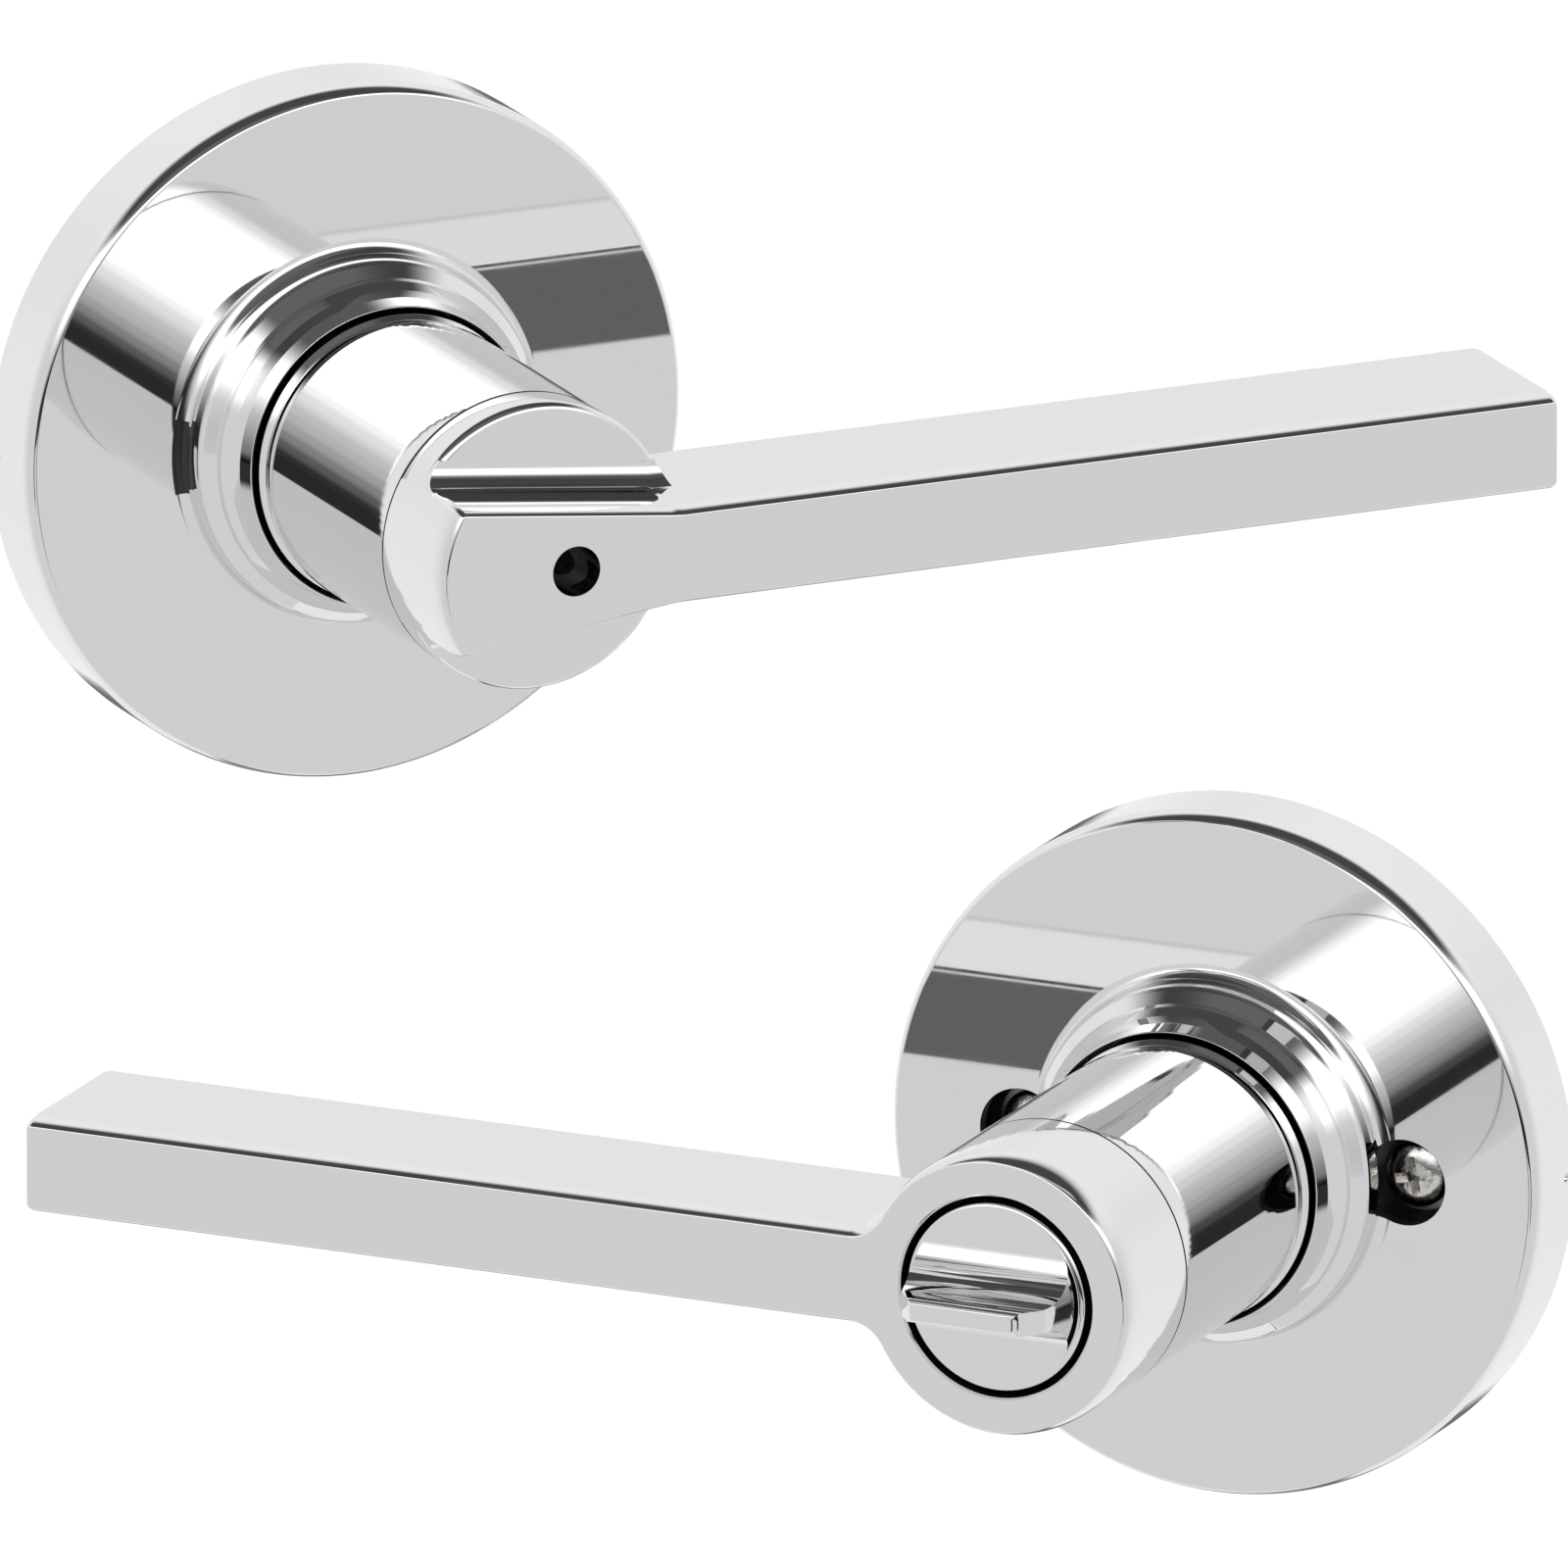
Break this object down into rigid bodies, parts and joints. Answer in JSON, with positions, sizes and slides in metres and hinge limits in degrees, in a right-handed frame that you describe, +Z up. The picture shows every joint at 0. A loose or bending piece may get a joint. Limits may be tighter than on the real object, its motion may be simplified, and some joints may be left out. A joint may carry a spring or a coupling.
{
  "type": "door lever handle",
  "caption": "Two-sided privacy lever set: round roses with stepped collars, straight flat-bar levers, an emergency pinhole on one side and a turn button on the other.",
  "frame": {"origin": "centre of the outside rose's door face, on its spindle axis", "axes": "+Y into the door along the outside spindle, +X along the outside lever, +Z up; the inside half is laid out beside, behind and below, turned 49.2 degrees about Z"},
  "size_m": [0.1646, 0.1192, 0.1529],
  "materials": {
    "chrome": "mirror-polished chrome plate",
    "zinc_plated_steel": "pressed steel, bright zinc plated",
    "bright_steel": "turned and stamped steel",
    "spring_wire": "drawn spring wire",
    "screw_steel": "bright nickel-plated steel",
    "black_steel": "blackened steel"
  },
  "bodies": {
    "fixed": {"outside_rose": "chrome", "outside_mounting_plate": "zinc_plated_steel", "outside_threaded_posts": "zinc_plated_steel", "outside_spring_cage": "zinc_plated_steel", "outside_return_spring": "spring_wire", "inside_rose": "chrome", "inside_mounting_plate": "zinc_plated_steel", "inside_through_screws": "screw_steel", "inside_spring_cage": "zinc_plated_steel", "inside_return_spring": "spring_wire"},
    "outside_handle": {"outside_neck": "chrome", "outside_lever": "chrome", "outside_set_screw": "black_steel", "outside_drive_tube": "bright_steel", "outside_spring_driver": "bright_steel", "outside_bearing_washer": "bright_steel", "outside_retaining_ring": "bright_steel", "outside_spindle": "bright_steel", "outside_spindle_clip": "bright_steel", "outside_release_stop": "bright_steel", "outside_release_spring": "spring_wire"},
    "inside_handle": {"inside_neck": "chrome", "inside_lever": "chrome", "inside_set_screw": "black_steel", "inside_drive_tube": "bright_steel", "inside_spring_driver": "bright_steel", "inside_bearing_washer": "bright_steel", "inside_retaining_ring": "bright_steel", "turn_button_wave_washer": "bright_steel"},
    "release": {"outside_release_rod": "bright_steel"},
    "button": {"turn_button": "chrome", "turn_button_shaft": "bright_steel", "turn_button_clip": "bright_steel"}
  },
  "joints": [
    {"name": "outside_lever_turn", "type": "hinge", "parent": "fixed", "child": "outside_handle", "pos_m": [0, 0, 0], "axis": [0, 1, 0], "range_deg": [-45, 45], "stiffness_Nm_per_rad": 3, "deforming": ["outside_return_spring"]},
    {"name": "inside_lever_turn", "type": "hinge", "parent": "fixed", "child": "inside_handle", "pos_m": [0.1012, 0.0113, -0.0863], "axis": [-0.757, -0.6534, 0], "range_deg": [-45, 45], "stiffness_Nm_per_rad": 3, "deforming": ["inside_return_spring"]},
    {"name": "turn_button_lock", "type": "hinge", "parent": "inside_handle", "child": "button", "pos_m": [0.1012, 0.0113, -0.0863], "axis": [0.757, 0.6534, 0], "range_deg": [0, 90]},
    {"name": "emergency_release", "type": "slide", "parent": "outside_handle", "child": "release", "axis": [0, 1, 0], "range_m": [0, 0.004], "stiffness_N_per_m": 300, "springref_m": -0.002, "deforming": ["outside_release_spring"]}
  ]
}
